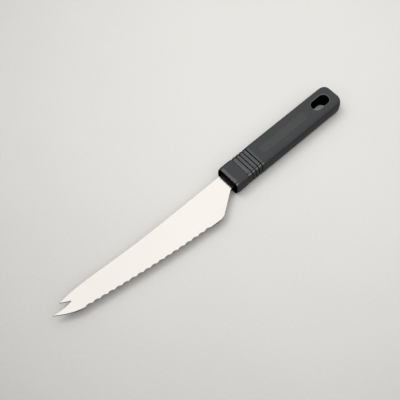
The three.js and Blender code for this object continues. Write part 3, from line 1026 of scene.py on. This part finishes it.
def pale_table(stage, finish):
    """Pale matt floor with a faint mottle and a painted pool of light round the knife, fading to painted
    shade further out.

    Where the knife mirrors it, it is painted darker than where the camera sees it, as shade.
    """
    material, tree, shader = start_material("pale_table")
    clouds = noise(tree, (9, 9, 9), detail=5, roughness=0.6)
    specks = noise(tree, (420, 420, 420), detail=3)
    spot = add_node(tree, "ShaderNodeTexCoord", {}).outputs["Object"]
    away = add_node(tree, "ShaderNodeVectorMath", {0: spot, 1: stage.painted_light_middle}, operation="DISTANCE")
    # Painted falloff of the pool of light, from its middle outwards
    shaded = ranged(tree, away.outputs["Value"], low=0, high=stage.painted_light_reach)
    mottle = weighed(tree, clouds, MOTTLE, specks, MOTTLE)
    centred = math_node(tree, "SUBTRACT", mottle, MOTTLE)
    tone = math_node(tree, "ADD", math_node(tree, "POWER", shaded, 2), centred)
    pale = mixed(tree, tone, finish.table, finish.painted_table_shade)
    seen = add_node(tree, "ShaderNodeLightPath", {}).outputs["Is Camera Ray"]
    base = mixed(tree, seen, finish.table_bounce_painted_shade, pale)
    relief = bump(tree, specks, strength=0.05, distance=0.05 * MM)
    wire(tree, shader, base, spread(tree, specks, 0.62, 0.74), relief)
    shader.inputs["Specular IOR Level"].default_value = 0
    return material


def make_floor(stage, finish):
    """Pale floor under the knife, with a painted pool of light."""
    shape = bmesh.new()
    bmesh.ops.create_grid(shape, x_segments=1, y_segments=1, size=stage.floor_reach)
    floor = add_mesh("floor", shape)
    dress(floor, [pale_table(stage, finish)])


def make_camera(stage):
    """Camera at the photograph's angle."""
    level = math.cos(stage.elevation)
    back = Vector((
        math.sin(stage.azimuth) * level,
        -math.cos(stage.azimuth) * level,
        math.sin(stage.elevation),
    ))
    data = bpy.data.cameras.new("camera")
    data.lens = stage.lens
    data.sensor_width = SENSOR_WIDTH
    camera = add_object("camera", data)
    camera.location = Vector(stage.target) + back * stage.distance
    facing = (-back).to_track_quat("-Z", "Y").to_matrix().to_4x4()
    turned = facing @ facing.Rotation(stage.roll, 4, "Z")
    camera.rotation_euler = turned.to_euler()
    bpy.context.scene.camera = camera


def make_lamp(name, spot, width, height, watts):
    """Soft lamp that faces the knife."""
    data = bpy.data.lights.new(name, "AREA")
    data.shape = "RECTANGLE"
    data.size = width
    data.size_y = height
    data.energy = watts
    lamp = add_object(name, data)
    lamp.location = spot
    lamp.rotation_euler = (-Vector(spot)).to_track_quat("-Z", "Y").to_euler()
    return lamp


def light_only(lamp, name):
    """Keeps a lamp's light on one piece."""
    lit = bpy.data.collections.new(f"{lamp.name}_receivers")
    lit.objects.link(bpy.data.objects[name])
    lamp.light_linking.receiver_collection = lit


def make_room(stage):
    """Pale room: white where it is seen, and a soft fill from above where it lights.

    Where it is mirrored, it is dimmer beyond the fork, behind the camera and near the floor.
    """
    world = bpy.data.worlds.new("pale_room")
    bpy.context.scene.world = world
    world.use_nodes = True
    tree = world.node_tree
    background = tree.nodes["Background"]
    background.inputs["Color"].default_value = (*stage.room_tint, 1)
    direction = add_node(tree, "ShaderNodeTexCoord", {}).outputs["Generated"]
    side = add_node(tree, "ShaderNodeSeparateXYZ", {"Vector": direction}).outputs
    fork_side = ranged(tree, side["X"], low=-0.25, high=0.3, to_low=stage.left_glow)
    near_side = ranged(tree, side["Y"], low=-0.2, high=0.35, to_low=stage.near_glow)
    low_glow = ranged(
        tree, side["Y"], low=-0.5, high=0.3, to_low=stage.low_near_glow, to_high=stage.low_far_glow
    )
    low_down = ranged(tree, side["Z"], low=0, high=0.5, to_low=low_glow)
    glow = times(tree, times(tree, fork_side, near_side), low_down)
    above = math_node(tree, "POWER", math_node(tree, "MAXIMUM", side["Z"], 0), 2)
    fill = times(tree, above, stage.room_fill)
    path = add_node(tree, "ShaderNodeLightPath", {}).outputs
    mirrored = math_node(tree, "MAXIMUM", path["Is Glossy Ray"], path["Is Transmission Ray"])
    level = ranged(tree, mirrored, low=0, high=1, to_low=fill, to_high=glow)
    strength = ranged(tree, path["Is Camera Ray"], low=0, high=1, to_low=level)
    tree.links.new(strength, background.inputs["Strength"])


class KNIFE_OT_make_blade(bpy.types.Operator):
    """Make the forked, scalloped blade"""

    bl_idname = "knife.make_blade"
    bl_label = "Make Blade"

    def execute(self, context):
        scene = context.scene
        make_blade(scene.knife_blade, scene.knife_core, scene.knife_finishes)
        return {"FINISHED"}


class KNIFE_OT_make_handle(bpy.types.Operator):
    """Make the moulded handle"""

    bl_idname = "knife.make_handle"
    bl_label = "Make Handle"

    def execute(self, context):
        scene = context.scene
        make_handle(scene.knife_handle, scene.knife_core, scene.knife_finishes)
        return {"FINISHED"}


class KNIFE_OT_make_core(bpy.types.Operator):
    """Make the core that holds the tang"""

    bl_idname = "knife.make_core"
    bl_label = "Make Core"

    def execute(self, context):
        scene = context.scene
        make_core(scene.knife_core, scene.knife_blade, scene.knife_handle, scene.knife_finishes)
        return {"FINISHED"}


class KNIFE_OT_set_stage(bpy.types.Operator):
    """Set the floor, camera, lamps and room"""

    bl_idname = "knife.set_stage"
    bl_label = "Set Stage"

    def execute(self, context):
        scene = context.scene
        stage = scene.knife_stage
        make_floor(stage, scene.knife_finishes)
        make_camera(stage)
        make_lamp("key_lamp", stage.key_place, stage.key_width, stage.key_height, stage.key_power)
        side = stage.glint_side
        glint = make_lamp("glint_lamp", stage.glint_place, side, side, stage.glint_power)
        glint.visible_diffuse = False
        light_only(glint, "handle_moulding")
        make_room(stage)
        scene.view_settings.view_transform = "Standard"
        return {"FINISHED"}


class KNIFE_PT_sidebar(bpy.types.Panel):
    """Lists the knife's makers and their sizes"""

    bl_idname = "KNIFE_PT_sidebar"
    bl_label = "Cheese Knife"
    bl_space_type = "VIEW_3D"
    bl_region_type = "UI"
    bl_category = "Knife"

    def draw(self, context):
        layout = self.layout
        for operator in OPERATORS:
            layout.operator(operator.bl_idname)
        for name, group in GROUPS.items():
            box = layout.box()
            box.label(text=group.__doc__)
            for item in group.__annotations__:
                box.prop(getattr(context.scene, name), item)


OPERATORS = (KNIFE_OT_make_blade, KNIFE_OT_make_core, KNIFE_OT_make_handle, KNIFE_OT_set_stage)
GROUPS = {
    "knife_handle": HandleSizes,
    "knife_blade": BladeSizes,
    "knife_core": CoreSizes,
    "knife_finishes": Finishes,
    "knife_stage": StageSetup,
}


def register():
    """Adds the knife's settings, makers and sidebar."""
    for name, group in GROUPS.items():
        bpy.utils.register_class(group)
        setattr(bpy.types.Scene, name, PointerProperty(type=group))
    for entry in (*OPERATORS, KNIFE_PT_sidebar):
        bpy.utils.register_class(entry)


def unregister():
    """Takes the sidebar, makers and settings away again."""
    for entry in reversed((*OPERATORS, KNIFE_PT_sidebar)):
        bpy.utils.unregister_class(entry)
    for name, group in reversed(GROUPS.items()):
        delattr(bpy.types.Scene, name)
        bpy.utils.unregister_class(group)


def main():
    """Makes the knife and its stage."""
    register()
    bpy.ops.knife.make_blade()
    bpy.ops.knife.make_core()
    bpy.ops.knife.make_handle()
    bpy.ops.knife.set_stage()


if __name__ == "__main__":
    main()
